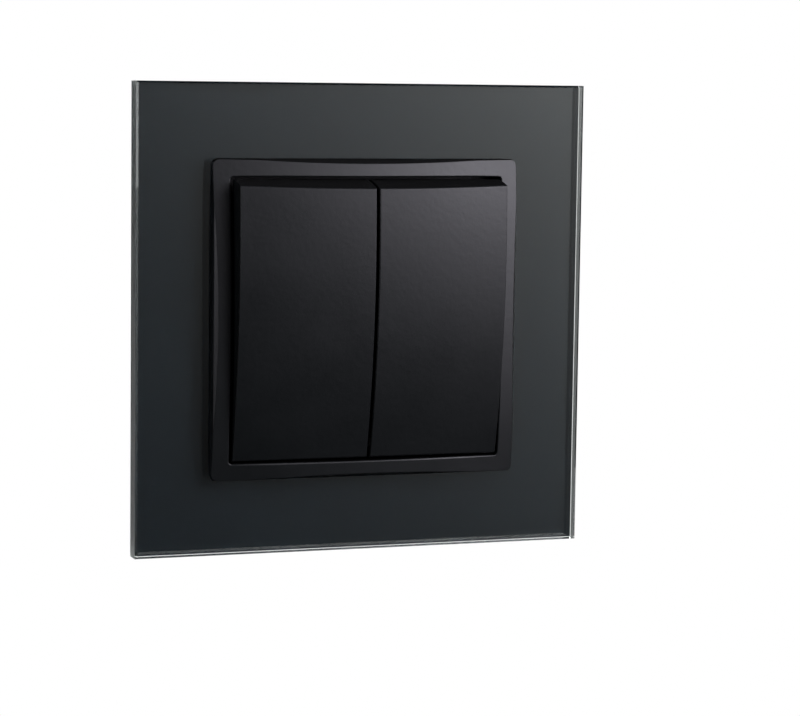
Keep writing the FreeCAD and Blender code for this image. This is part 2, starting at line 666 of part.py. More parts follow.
def bezel():
    body = new_body("bezel")
    sketch = front_sketch(body, GLASS_FRONT)
    square(sketch, BEZEL_SIDE)
    pad(body, sketch, BEZEL_STOCK, taper=-size("bezel_draft"))
    middle = BEZEL_SIDE.number * 0.48
    leaning = lambda edge: abs(edge.CenterOfMass.x) > middle and abs(edge.CenterOfMass.z) > middle
    break_edges(body, "Fillet", size("bezel_corner"), leaning)
    dome_face(body)
    outer_bevel(body)
    sketch = front_sketch(body, COLLAR_END)
    square(sketch, COLLAR_SIDE)
    pad(body, sketch, GLASS_FRONT - COLLAR_END)
    break_edges(body, "Fillet", size("bezel_inner_corner") + size("collar_wall"),
                corner_of(COLLAR_SIDE))
    sketch = front_sketch(body, BEZEL_TOP + 1)
    square(sketch, BEZEL_OPEN)
    pocket(body, sketch, BEZEL_TOP + 1 - LEDGE_FRONT)
    sketch = front_sketch(body, LEDGE_BACK)
    square(sketch, BEZEL_OPEN)
    pocket(body, sketch, LEDGE_BACK - COLLAR_END)
    sketch = front_sketch(body, LEDGE_FRONT)
    square(sketch, BEZEL_OPEN - size("ledge_reach") * 2)
    pocket(body, sketch, size("ledge_thick"))
    inner = BEZEL_OPEN.number / 2
    break_edges(body, "Fillet", size("bezel_inner_corner"), corner_of(BEZEL_OPEN))
    front = -GLASS_FRONT.number - 0.5

    def inner_rim(edge):
        box = edge.BoundBox
        reach = max(box.XMax, box.ZMax, -box.XMin, -box.ZMin)
        return box.YMax < front and abs(reach - inner) < 0.01 and not runs_along(edge, 1)
    break_edges(body, "Chamfer", size("bezel_edge"), inner_rim)
    hooks(body)
    return body


def dome_face(body):
    """Shapes the face as part of a sphere, centred behind the middle."""
    sketch = new_sketch(body, "XY_Plane", ZERO)
    reach = BEZEL_SIDE
    radius = size("bezel_dome_radius")
    drop = radius - root(radius * radius - reach * reach)
    top = -BEZEL_TOP
    outline(sketch, [(0, top - 2), (0, top), (reach, top + drop), (reach, top - 2)])
    sketch.delGeometry(1)
    arc_start = Vector(0, top.number, 0)
    arc_end = Vector(reach.number, (top + drop).number, 0)
    centre = Vector(0, (top + radius).number, 0)
    middle = (arc_start + arc_end) / 2 - centre
    middle = centre + middle.normalize() * radius.number
    index = sketch.addGeometry(Part.Arc(arc_start, middle, arc_end), False)
    number = sketch.addConstraint(Sketcher.Constraint("Radius", index, radius.number))
    sketch.setExpression("Constraints[%d]" % number, radius.text)
    join_arc(sketch, index)
    turn(body, "Groove", sketch, (origin_feature(body, "Y_Axis"), [""]), 360)


def join_arc(sketch, index):
    """Ties both ends of an arc to the line ends that already lie there."""
    for point in (1, 2):
        spot = sketch.getPoint(index, point)
        for other in range(sketch.GeometryCount):
            if other == index:
                continue
            for end in (1, 2):
                if (sketch.getPoint(other, end) - spot).Length < 1e-6:
                    link = Sketcher.Constraint("Coincident", index, point, other, end)
                    sketch.addConstraint(link)


def outer_bevel(body):
    """Bevel round the outside that is widest at the middle of each side."""
    sketch = new_sketch(body, "XY_Plane", ZERO)
    lean = math.tan(math.radians(size("bezel_draft").number))
    edge = BEZEL_SIDE / 2 - size("bevel_start") * lean
    level = -(GLASS_FRONT + size("bevel_start"))
    out = size("bevel_run") * 0.2
    fall = size("bevel_rise") * 0.2
    outline(sketch, [(edge + out, level + fall), (edge + out, level - size("bevel_rise")),
                     (edge - size("bevel_run"), level - size("bevel_rise"))])
    axis = sketch.addGeometry(Part.LineSegment(
        Vector(0, (level + size("bevel_radius")).number, 0),
        Vector(edge.number, (level + size("bevel_radius")).number, 0)), True)
    hold(sketch, axis, 1, 0, level + size("bevel_radius"))
    hold(sketch, axis, 2, edge, level + size("bevel_radius"))
    cut = turn(body, "Groove", sketch, (sketch, ["Axis0"]), 8, both_ways=True)
    pattern(body, [cut], "PolarPattern")


def hooks(body):
    """Eight barbed legs that catch behind the web of the carrier."""
    outside = COLLAR_SIDE / 2
    inside = BEZEL_OPEN / 2
    half = size("hook_width") / 2
    catch = WEB_BACK - size("hook_gap")
    features = []
    for along in (-1, 1):
        centre = size("hook_place") * along
        sketch = front_sketch(body, HOOK_END)
        rectangle(sketch, inside + size("sink"), centre - half, outside, centre + half)
        features.append(pad(body, sketch, COLLAR_END - HOOK_END + size("sink")))
        sketch = front_sketch(body, catch - size("hook_barb"))
        rectangle(sketch, outside - size("sink"), centre - half,
                  outside + size("hook_reach"), centre + half)
        features.append(pad(body, sketch, size("hook_barb")))
    pattern(body, features, "PolarPattern")


def rocker(label, sign):
    body = new_body(label)
    radius = ROCKER_RADIUS
    edge = size("rocker_edge")
    skirt = size("rocker_skirt")
    skirt_z = root(radius * radius - skirt * skirt)
    front = CROWN_TOP + size("sink")
    front_z = root(radius * radius - front * front)
    centre = ROCKER_X * sign
    sketch = new_sketch(body, "YZ_Plane", centre)
    outline(sketch, [
        (-skirt, -skirt_z),
        (-skirt, skirt_z, radius),
        (-front, front_z),
        (-front, -front_z, radius),
    ])
    pad(body, sketch, size("rocker_width"), both_ways=True)
    crowned_face(body)
    break_edges(body, "Chamfer", size("rocker_bevel"),
                lambda part: part.BoundBox.YMax < 0.01 - edge.number)
    hollow_rocker(body, centre, sign)
    gang = GANG_X * sign
    sketch = new_sketch(body, "YZ_Plane", gang)
    half = size("rocker_rib") / 2
    place_z = size("rocker_rib_place")
    seat = size("cradle_back") + size("cradle_plate")
    rectangle(sketch, -CLIP_ROOT, place_z - half, -seat, place_z + half)
    rib = pad(body, sketch, size("rocker_rib_width"), both_ways=True)
    sketch = new_sketch(body, "YZ_Plane", gang)
    near = size("clip_place")
    outline(sketch, [
        (-CLIP_END, near),
        (-CLIP_END, CLIP_FAR),
        (-CLIP_END - size("clip_nose"), CLIP_FAR + size("clip_reach")),
        (-CLIP_CATCH, CLIP_FAR + size("clip_reach")),
        (-CLIP_CATCH, CLIP_FAR),
        (-CLIP_ROOT, CLIP_FAR),
        (-CLIP_ROOT, near),
    ])
    clip = pad(body, sketch, size("clip_width"), both_ways=True)
    pattern(body, [rib, clip], "Mirrored")
    place(body, 0, size("pivot_depth").number, 0, size("rest_tilt").number)
    return body


def crowned_face(body):
    """Curves the face from top to bottom and from side to side, across both rockers."""
    sketch = new_sketch(body, "XY_Plane", ZERO)
    side = FACE_SIDE + size("rocker_wall")
    drop = CROWN_RADIUS - root(CROWN_RADIUS * CROWN_RADIUS - side * side)
    beyond = CROWN_TOP + size("rocker_edge")
    outline(sketch, [
        (-side, drop - CROWN_TOP, CROWN_RADIUS),
        (side, drop - CROWN_TOP),
        (side, -beyond),
        (-side, -beyond),
    ])
    behind = FACE_RADIUS - FACE_TOP
    axis = sketch.addGeometry(Part.LineSegment(
        Vector(0, behind.number, 0), Vector(side.number, behind.number, 0)), True)
    hold(sketch, axis, 1, 0, behind)
    hold(sketch, axis, 2, side, behind)
    turn(body, "Groove", sketch, (sketch, ["Axis0"]), 20, both_ways=True)


def hollow_rocker(body, centre, sign):
    """Hollows the rocker from behind and notches its inner skirt over the bearing."""
    skirt = size("rocker_skirt")
    inner_z = ROCKER_RADIUS - size("rocker_end_wall")
    inner_radius = FACE_RADIUS - size("rocker_skin")
    level = FACE_TOP - FACE_RADIUS + root(inner_radius * inner_radius - inner_z * inner_z)
    below = size("sink") - skirt
    sketch = new_sketch(body, "YZ_Plane", centre)
    outline(sketch, [
        (below, -inner_z),
        (below, inner_z),
        (-level, inner_z, inner_radius),
        (-level, -inner_z),
    ])
    inner = size("rocker_width") - size("rocker_wall") * 2
    pocket(body, sketch, inner, both_ways=True)
    middle_wall = (size("rocker_gap") + size("rocker_wall")) / 2 * sign
    sketch = new_sketch(body, "YZ_Plane", middle_wall)
    half = size("lug_half") + size("notch_side_play")
    rectangle(sketch, -size("lug_rise") - size("notch_top_play"), -half, below, half)
    pocket(body, sketch, size("rocker_wall") + size("sink") * 2, both_ways=True)


def cradle(label, sign):
    body = new_body(label)
    inner = size("cradle_start") * sign
    outer = CRADLE_END * sign
    gang = GANG_X * sign
    back = size("cradle_back")
    sketch = front_sketch(body, back)
    rectangle(sketch, inner, -size("cradle_half"), outer, size("cradle_half"))
    pad(body, sketch, size("cradle_plate"))
    sketch = front_sketch(body, back + size("cradle_plate"))
    for z_sign in (-1, 1):
        rectangle(sketch, gang - WINDOW_HALF, WINDOW_NEAR * z_sign, gang + WINDOW_HALF,
                  WINDOW_FAR * z_sign)
    pocket(body, sketch, size("cradle_plate"))
    ear = size("cradle_ear") * sign
    ear_half = size("cradle_ear_half")
    ear_end = -size("cradle_ear_end")
    for left, right in ((inner, inner + ear), (outer - ear, outer)):
        sketch = front_sketch(body, ear_end)
        rectangle(sketch, left, -ear_half, right, ear_half)
        pad(body, sketch, back - ear_end)
    for start, reach in ((inner, -1), (outer, 1)):
        end = start + size("trunnion_reach") * (reach * sign)
        low = start if start.number < end.number else end
        sketch = new_sketch(body, "YZ_Plane", low)
        circle(sketch, ZERO, ZERO, size("trunnion_radius"))
        pad(body, sketch, size("trunnion_reach"))
    sketch = front_sketch(body, -size("boss_end"))
    circle(sketch, gang, ZERO, size("boss_radius"))
    pad(body, sketch, size("boss_end") + back)
    sketch = front_sketch(body, size("bore_top"))
    circle(sketch, gang, ZERO, size("bore_radius"))
    pocket(body, sketch, size("bore_top") + size("boss_end"))
    place(body, 0, size("pivot_depth").number, 0, size("rest_tilt").number)
    return body


def plunger(label, sign):
    body = new_body(label)
    sketch = new_sketch(body, "XY_Plane", ZERO)
    radius = size("plunger_radius")
    stem = size("stem_radius")
    outline(sketch, [
        (0, size("stem_end")),
        (stem, size("stem_end")),
        (stem, size("plunger_shoulder")),
        (radius, size("plunger_shoulder")),
        (radius, PLUNGER_TIP - radius, radius),
        (0, PLUNGER_TIP),
    ])
    turn(body, "Revolution", sketch, (origin_feature(body, "Y_Axis"), [""]), 360)
    place(body, (GANG_X * sign).number, size("pivot_depth").number, 0,
          size("rest_tilt").number)
    return body


def coil_point(turns):
    """Point on the centre line of a plunger spring after a number of turns."""
    angle = 2 * math.pi * turns
    radius = size("coil_radius").number
    height = size("coil_start").number - size("coil_pitch").number * turns
    return Vector(radius * math.cos(angle), height, radius * math.sin(angle))


def coil_way(turns):
    """Direction of the centre line there."""
    angle = 2 * math.pi * turns
    radius = size("coil_radius").number
    rise = size("coil_pitch").number / (2 * math.pi)
    return Vector(-radius * math.sin(angle), -rise, radius * math.cos(angle)).normalize()


def leaving_arc(start, way, end):
    """Arc from start to end that leaves start in the given direction."""
    chord = end - start
    inward = way.cross(chord).cross(way).normalize()
    centre = start + inward * (chord.dot(chord) / (2 * chord.dot(inward)))
    radius = (start - centre).Length
    middle = centre + ((start + end) / 2 - centre).normalize() * radius
    return Part.Arc(start, middle, end).toShape()


def coil_quarter(begin):
    """Two arcs for a quarter turn, which meet without a kink."""
    end = begin + 0.25
    start_point = coil_point(begin)
    end_point = coil_point(end)
    start_way = coil_way(begin)
    end_way = coil_way(end)
    chord = end_point - start_point
    along = chord.dot(start_way + end_way)
    bend = 2 * (1 - start_way.dot(end_way))
    reach = (math.sqrt(along * along + bend * chord.dot(chord)) - along) / bend
    meeting = (start_point + end_point + (start_way - end_way) * reach) / 2
    return [leaving_arc(start_point, start_way, meeting),
            leaving_arc(end_point, -end_way, meeting)]


def plunger_spring(label, sign):
    """One unbroken wire, wound round the stem of the plunger, with short straight ends."""
    turns = size("coil_turns").number
    wire = size("coil_wire").number
    first = coil_point(0) - coil_way(0) * wire * 2
    last = coil_point(turns) + coil_way(turns) * wire * 2
    edges = [Part.makeLine(first, coil_point(0))]
    for quarter in range(int(round(turns * 4))):
        edges += coil_quarter(quarter / 4)
    edges.append(Part.makeLine(coil_point(turns), last))
    section = Part.Wire(Part.makeCircle(wire, first, coil_way(0)))
    spring = doc.addObject("Part::Feature", label)
    spring.Label = label
    spring.Shape = Part.Wire(edges).makePipeShell([section], True, False)
    place(spring, (GANG_X * sign).number, size("pivot_depth").number, 0,
          size("rest_tilt").number)
    return spring


def lever(label, sign):
    body = new_body(label)
    half_x = size("lever_width") / 2
    lift = size("lever_lift")
    sketch = front_sketch(body, lift)
    rectangle(sketch, -half_x, -size("lever_half"), half_x, size("lever_half"))
    pad(body, sketch, size("lever_thick"))
    guide = size("lever_guide_half")
    for left, right in ((-half_x, size("lever_guide") - half_x),
                        (half_x - size("lever_guide"), half_x)):
        sketch = front_sketch(body, lift + size("lever_thick"))
        rectangle(sketch, left, -guide, right, guide)
        pad(body, sketch, size("lever_guide_rise"))
    place(body, (GANG_X * sign).number, -size("fulcrum_depth").number, 0,
          -size("lever_tilt").number)
    return body


def moving_tip(label, sign):
    body = new_body(label)
    sketch = front_sketch(body, size("lever_lift") - size("tip_height"))
    circle(sketch, ZERO, -size("tip_place"), size("tip_radius"))
    pad(body, sketch, size("tip_height"))
    place(body, (GANG_X * sign).number, -size("fulcrum_depth").number, 0,
          -size("lever_tilt").number)
    return body


def clamp_leg(body, centre, z_sign):
    """Leg of a bar that stands in a terminal pocket."""
    near = LEG_PLACE * z_sign
    far = (LEG_FAR) * z_sign
    sketch = front_sketch(body, -LEG_END)
    rectangle(sketch, centre - size("leg_half"), near, centre + size("leg_half"), far)
    pad(body, sketch, LEG_END - size("bar_depth") + size("sink"))


def common_bar():
    body = new_body("common_bar")
    back = -size("bar_depth")
    sketch = front_sketch(body, back)
    half = COMMON_HALF
    top = LEG_FAR
    rectangle(sketch, -half, -size("common_low"), half, top)
    pad(body, sketch, size("bar_thick"))
    foot = BAR_FRONT + size("sink")
    tip = size("fulcrum_depth") + size("fulcrum_gap")
    for sign in (-1, 1):
        sketch = new_sketch(body, "YZ_Plane", GANG_X * sign)
        outline(sketch, [
            (foot, -size("fulcrum_base_half")),
            (foot, size("fulcrum_base_half")),
            (tip, size("fulcrum_tip_half")),
            (tip, -size("fulcrum_tip_half")),
        ])
        pad(body, sketch, size("fulcrum_width"), both_ways=True)
        clamp_leg(body, GANG_X * sign, 1)
    return body


def output_bar(label, sign):
    body = new_body(label)
    centre = GANG_X * sign
    half = size("output_half")
    sketch = front_sketch(body, -size("bar_depth"))
    rectangle(sketch, centre - half, -size("output_low"), centre + half, -size("output_high"))
    pad(body, sketch, size("bar_thick"))
    clamp_leg(body, centre, -1)
    return body


def cylinder(name, radius, length, x, depth, z):
    """A Part cylinder that grows from the depth towards the room."""
    item = doc.addObject("Part::Cylinder", name)
    item.setExpression("Radius", radius.text)
    item.setExpression("Height", length.text)
    place(item, x.number, depth.number, z.number, 90)
    item.setExpression("Placement.Base.x", x.text)
    item.setExpression("Placement.Base.y", (-depth).text)
    item.setExpression("Placement.Base.z", z.text)
    return item


def group(label, items):
    """Several separate solids of one kind under one name."""
    item = doc.addObject("Part::Compound", label)
    item.Label = label
    item.Links = items
    doc.recompute()
    return item


def fixed_tips():
    back = -BAR_FRONT
    height = -(size("fulcrum_depth") + size("fixed_tip_drop")) - back
    items = []
    for side, sign in (("left", -1), ("right", 1)):
        items.append(cylinder("fixed_tip_" + side, size("tip_radius"), height,
                              GANG_X * sign, back, -size("tip_place")))
    return group("fixed_tips", items)


def ring_rivets():
    """Four rivets with a head at both ends."""
    back = -size("flange_thick")
    front = COVER_FRONT
    thick = size("rivet_head_thick")
    items = []
    for x_sign in (-1, 1):
        for z_sign in (-1, 1):
            name = "rivet_%d" % (len(items) + 1)
            x = size("rivet_x") * x_sign
            z = RIVET_Z * z_sign
            shank = cylinder(name + "_shank", size("rivet_radius"),
                             front - back + thick, x, back - thick / 2, z)
            rear = cylinder(name + "_rear", size("rivet_head"), thick, x, back - thick, z)
            head = cylinder(name + "_head", size("rivet_head"), thick, x, front, z)
            rivet = doc.addObject("Part::MultiFuse", name)
            rivet.Shapes = [shank, rear, head]
            items.append(rivet)
    return group("ring_rivets", items)


def clamp_springs():
    """Four bent leaf springs, one in each terminal pocket."""
    items = []
    thick = size("clamp_sheet")
    bend = size("clamp_bend")
    outer = ROOM_HALF_Z - size("clamp_play")
    top = size("bar_depth") + size("clamp_top")
    tip = LEG_END - size("clamp_tip")
    tail = LEG_END - size("clamp_tail")
    for x_sign in (-1, 1):
        for z_sign in (-1, 1):
            body = new_body("clamp_spring_%d" % (len(items) + 1))
            sketch = new_sketch(body, "YZ_Plane", GANG_X * x_sign)
            path = [
                (tail, outer),
                (top + bend, outer),
                (top, outer - bend * 0.75),
                (top, outer - bend * 1.6),
                (top + bend * 0.9, outer - bend * 2.25),
                (tip, LEG_FAR + size("clamp_contact")),
                (tip + thick * 0.8, LEG_FAR + size("clamp_contact") + thick * 0.6),
                (top + bend * 1.2, outer - bend * 2),
                (top + thick, outer - bend * 1.45),
                (top + thick, outer - bend * 0.9),
                (top + bend * 1.1, outer - thick),
                (tail, outer - thick),
            ]
            outline(sketch, [(depth, z * z_sign) for depth, z in path])
            pad(body, sketch, size("clamp_width"), both_ways=True)
            items.append(body)
    return group("clamp_springs", items)


def release_slide(label, x_sign, z_sign):
    body = new_body(label)
    centre = GANG_X * x_sign
    half = size("release_half")
    near = RELEASE_NEAR * z_sign
    sketch = front_sketch(body, -(BASE_REAR + size("release_proud")))
    rectangle(sketch, centre - half, near, centre + half, RELEASE_FAR * z_sign)
    pad(body, sketch, (BASE_REAR + size("release_proud")) - RELEASE_TOP)
    back = -size("pocket_deep") + size("collar_play")
    sketch = front_sketch(body, back)
    half = size("collar_half")
    rectangle(sketch, centre - half, near, centre + half,
              (ROOM_HALF_Z - size("collar_clear")) * z_sign)
    pad(body, sketch, size("collar_long"))
    return body


def cut_corner_box(sketch, half_x, half_z, cut):
    outline(sketch, [
        (cut - half_x, -half_z),
        (half_x - cut, -half_z),
        (half_x, cut - half_z),
        (half_x, half_z - cut),
        (half_x - cut, half_z),
        (cut - half_x, half_z),
        (-half_x, half_z - cut),
        (-half_x, cut - half_z),
    ])


def rivet_holes(body, front, length):
    sketch = front_sketch(body, front)
    for x_sign in (-1, 1):
        for z_sign in (-1, 1):
            circle(sketch, size("rivet_x") * x_sign, RIVET_Z * z_sign,
                   size("rivet_radius") + size("rivet_play"))
    pocket(body, sketch, length)


def mechanism_base():
    body = new_body("mechanism_base")
    sketch = front_sketch(body, -BASE_REAR)
    cut_corner_box(sketch, BASE_HALF_X, BASE_HALF_Z, size("base_cut"))
    pad(body, sketch, BASE_REAR)
    sketch = front_sketch(body, -size("flange_thick"))
    cut_corner_box(sketch, BASE_HALF_X, FLANGE_HALF_Z, size("flange_cut"))
    pad(body, sketch, size("flange_thick"))
    sketch = front_sketch(body, ZERO)
    rim_x = RING_HALF_X - size("rim_play")
    rim_z = RING_HALF_Z - size("rim_play")
    rectangle(sketch, -rim_x, -rim_z, rim_x, rim_z)
    pad(body, sketch, size("ring_thick"))
    rivet_holes(body, ZERO, size("flange_thick"))
    front = size("ring_thick")
    room_deep = front + size("bar_depth")
    for sign in (-1, 1):
        sketch = front_sketch(body, front)
        rectangle(sketch, size("room_start") * sign, -ROOM_HALF_Z,
                  ROOM_END * sign, ROOM_HALF_Z)
        pocket(body, sketch, room_deep)
    sketch = front_sketch(body, front)
    inside = size("room_start") + size("sink")
    rectangle(sketch, -inside, -size("common_low") - size("common_play"),
              inside, LEG_FAR + size("common_play"))
    pocket(body, sketch, room_deep)
    for x_sign in (-1, 1):
        for z_sign in (-1, 1):
            terminal_pocket(body, GANG_X * x_sign, z_sign)
    return body


def terminal_pocket(body, centre, z_sign):
    """Pocket for one clamp, with its wire entry and release hole in the rear wall."""
    sketch = front_sketch(body, -size("bar_depth"))
    half = size("pocket_half")
    rectangle(sketch, centre - half, size("pocket_start") * z_sign, centre + half,
              ROOM_HALF_Z * z_sign)
    pocket(body, sketch, size("pocket_deep") - size("bar_depth"))
    rear_wall = BASE_REAR - size("pocket_deep")
    play = size("release_play")
    sketch = front_sketch(body, -size("pocket_deep"))
    circle(sketch, centre, WIRE_PLACE * z_sign, size("wire_radius"))
    rectangle(sketch, centre - size("release_half") - play,
              (RELEASE_NEAR - play) * z_sign,
              centre + size("release_half") + play,
              (RELEASE_FAR + play) * z_sign)
    pocket(body, sketch, rear_wall)


def mechanism_cover():
    body = new_body("mechanism_cover")
    back = size("ring_thick")
    front = COVER_FRONT
    half_x = COVER_HALF_X
    half_z = COVER_HALF_Z
    sketch = front_sketch(body, back)
    rectangle(sketch, -half_x, -half_z, half_x, half_z)
    pad(body, sketch, size("cover_thick"))
    break_edges(body, "Fillet", size("cover_corner"), corner_of(half_x * 2, half_z * 2))
    rivet_holes(body, front, size("cover_thick"))
    window_x = size("boss_radius") + size("cover_window_play_x")
    window_z = size("boss_radius") + size("cover_window_play_z")
    for sign in (-1, 1):
        sketch = front_sketch(body, front)
        centre = GANG_X * sign
        rectangle(sketch, centre - window_x, -window_z, centre + window_x, window_z)
        pocket(body, sketch, size("cover_thick"))
    outer = LUG_OUTER
    far = LUG_END
    middle = size("cradle_start") - size("lug_middle_gap")
    lug_half = size("lug_half")
    root_depth = front - size("sink")
    for left, right in ((-middle, middle), (outer, far), (-far, -outer)):
        sketch = front_sketch(body, root_depth)
        rectangle(sketch, left, -lug_half, right, lug_half)
        pad(body, sketch, size("pivot_depth") + size("lug_rise") - root_depth)
    sketch = new_sketch(body, "YZ_Plane", ZERO)
    circle(sketch, -size("pivot_depth"), ZERO, size("trunnion_radius") + size("trunnion_play"))
    pocket(body, sketch, half_x * 2 + 1, both_ways=True)
    for x_sign in (-1, 1):
        centre = GANG_X * x_sign
        for z_sign in (-1, 1):
            sketch = front_sketch(body, root_depth)
            near = (size("cradle_half") - size("stop_long")) * z_sign
            rectangle(sketch, centre - size("stop_half"), near,
                      centre + size("stop_half"), size("cradle_half") * z_sign)
            pad(body, sketch, size("pivot_depth") + size("stop_rise") - root_depth)
    return body


def support_ring():
    body = new_body("support_ring")
    thick = size("ring_thick")
    sketch = front_sketch(body, ZERO)
    square(sketch, size("ring_side"))
    pad(body, sketch, thick)
    break_edges(body, "Fillet", size("ring_corner"), corner_of(size("ring_side")))
    sketch = front_sketch(body, thick)
    rectangle(sketch, -RING_HALF_X, -RING_HALF_Z, RING_HALF_X, RING_HALF_Z)
    pocket(body, sketch, thick)
    sketch = front_sketch(body, thick)
    away = size("screw_place")
    for sign in (-1, 1):
        circle(sketch, away * sign, ZERO, size("screw_hole"))
        slot(sketch, ZERO, away * sign, size("slot_half"), size("slot_radius"))
        circle(sketch, CLAW_SCREW_X * sign, ZERO,
               size("claw_screw_radius") + size("claw_screw_play"))
        for other in (-1, 1):
            circle(sketch, POST_PLACE * sign, POST_PLACE * other,
                   size("post_radius") + size("post_play"))
    pocket(body, sketch, thick)
    rivet_holes(body, thick, thick)
    hinge_ears(body)
    return body


def hinge_ears(body):
    """Four small ears bent back from the ring, in which the claws hang."""
    end = size("hinge_ear_end")
    half = size("hinge_ear_half")
    near = EAR_START
    far = near + size("hinge_ear")
    for x_sign in (-1, 1):
        centre = HINGE_X * x_sign
        for z_sign in (-1, 1):
            sketch = front_sketch(body, -end)
            rectangle(sketch, centre - half, near * z_sign, centre + half, far * z_sign)
            pad(body, sketch, end + size("sink"))
    sketch = new_sketch(body, "XY_Plane", ZERO)
    for x_sign in (-1, 1):
        circle(sketch, HINGE_X * x_sign, size("hinge_deep"),
               size("hinge_pin") + size("hinge_play"))
    pocket(body, sketch, far * 2 + 1, both_ways=True)


def upright_rod(body, start, end, radius):
    """A rod along Z on the hinge axis of the body."""
    sketch = new_sketch(body, "XY_Plane", start)
    circle(sketch, ZERO, ZERO, radius)
    pad(body, sketch, end - start)


def claw(label, sign):
    body = new_body(label)
    sheet_half = size("claw_sheet") / 2
    half = size("claw_half")
    slot_start = size("claw_arm") - size("claw_slot_in")
    slot_end = size("claw_arm") + size("claw_slot_out")
    slot_half = size("claw_screw_radius") + size("claw_slot_play")
    sketch = front_sketch(body, -sheet_half)
    rectangle(sketch, -sheet_half, -half, slot_end + size("claw_leg_edge"), half)
    pad(body, sketch, size("claw_sheet"))
    sketch = front_sketch(body, sheet_half)
    rectangle(sketch, slot_start, -slot_half, slot_end, slot_half)
    pocket(body, sketch, size("claw_sheet"))
    back = -size("prong_back")
    face = back + size("claw_sheet")
    tip = size("prong_long")
    for z_sign in (-1, 1):
        low = size("prong_inner") if z_sign > 0 else -half
        sketch = new_sketch(body, "XY_Plane", low)
        outline(sketch, [
            (back, 0),
            (face, 0),
            (face, tip - size("tooth_deep") * 1.5),
            (size("tooth_reach"), tip - size("tooth_deep")),
            (size("tooth_reach"), tip - size("tooth_deep") / 2),
            (face, tip),
            (back, tip),
        ])
        pad(body, sketch, half - size("prong_inner"))
        if z_sign > 0:
            upright_rod(body, size("barrel_start"), BARREL_END, size("barrel_radius"))
            upright_rod(body, BARREL_END - size("sink"), PIN_END, size("hinge_pin"))
        else:
            upright_rod(body, -BARREL_END, -size("barrel_start"), size("barrel_radius"))
            upright_rod(body, -PIN_END, size("sink") - BARREL_END, size("hinge_pin"))
    turned = 0 if sign > 0 else 180
    place(body, HINGE_X.number * sign, -size("hinge_deep").number, 0, turned,
          Vector(0, 1, 0))
    return body


def claw_screw(label, sign):
    body = new_body(label)
    sketch = front_sketch(body, -size("claw_screw_long"))
    circle(sketch, ZERO, ZERO, size("claw_screw_radius"))
    pad(body, sketch, size("claw_screw_long"))
    sketch = front_sketch(body, ZERO)
    circle(sketch, ZERO, ZERO, size("claw_head_radius"))
    pad(body, sketch, size("claw_head_thick"))
    sketch = front_sketch(body, size("claw_head_thick"))
    half = size("claw_head_slot")
    reach = size("claw_head_radius") * 1.2
    rectangle(sketch, -half, -reach, half, reach)
    pocket(body, sketch, size("claw_head_slot_deep"))
    place(body, CLAW_SCREW_X.number * sign, size("ring_thick").number, 0)
    return body


def build_all():
    nodes = [glass_panel()]
    nodes.append(flat_ring("backing_film", FILM_BACK, size("film_thick"),
                           size("plate_side") - size("film_inset") * 2,
                           FILM_HOLE, size("glass_hole_radius")))
    nodes.append(flat_ring("foam_tape", TAPE_BACK, size("tape_thick"),
                           CARRIER_SIDE - size("tape_inset") * 2,
                           CARRIER_HOLE + size("tape_step") * 2, size("glass_hole_radius")))
    nodes.append(frame_carrier())
    nodes.append(bezel())
    nodes.append(support_ring())
    nodes.append(ring_rivets())
    nodes.append(mechanism_cover())
    nodes.append(mechanism_base())
    nodes.append(common_bar())
    nodes.append(fixed_tips())
    nodes.append(clamp_springs())
    for side, sign in (("left", -1), ("right", 1)):
        nodes.append(rocker(side + "_rocker", sign))
        nodes.append(cradle(side + "_cradle", sign))
        nodes.append(plunger(side + "_plunger", sign))
        nodes.append(plunger_spring(side + "_plunger_spring", sign))
        nodes.append(lever(side + "_lever", sign))
        nodes.append(moving_tip(side + "_moving_tip", sign))
        nodes.append(output_bar(side + "_output_bar", sign))
        nodes.append(claw(side + "_claw", sign))
        nodes.append(claw_screw(side + "_claw_screw", sign))
        nodes.append(release_slide("release_upper_" + side, sign, 1))
        nodes.append(release_slide("release_lower_" + side, sign, -1))
    return nodes


def check_objects():
    """Stops when any object of the document failed."""
    for item in doc.Objects:
        bad = [word for word in item.State if word in ("Invalid", "Error")]
        if bad:
            raise RuntimeError("%s is %s" % (item.Name, bad))


def export(nodes):
    os.makedirs("parts", exist_ok=True)
    for node in nodes:
        shape = node.Shape
        if shape.isNull() or not shape.isValid():
            raise RuntimeError(node.Label + " has no valid shape")
        print("%-20s solids %d volume %9.2f" % (node.Label, len(shape.Solids), shape.Volume))
        shape.exportStep("parts/%s.step" % node.Label)


all_nodes = build_all()
doc.recompute()
check_objects()
export(all_nodes)
points = [coil_point(step / 48) for step in range(int(48 * size("coil_turns").number) + 1)]
least = min((a - b).Length for index, a in enumerate(points) for b in points[index + 36:])
print("plunger spring, least gap to itself %.2f mm" % (least - 2 * size("coil_wire").number))
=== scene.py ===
import json
import math

import bmesh
import bpy
from mathutils import Matrix, Vector


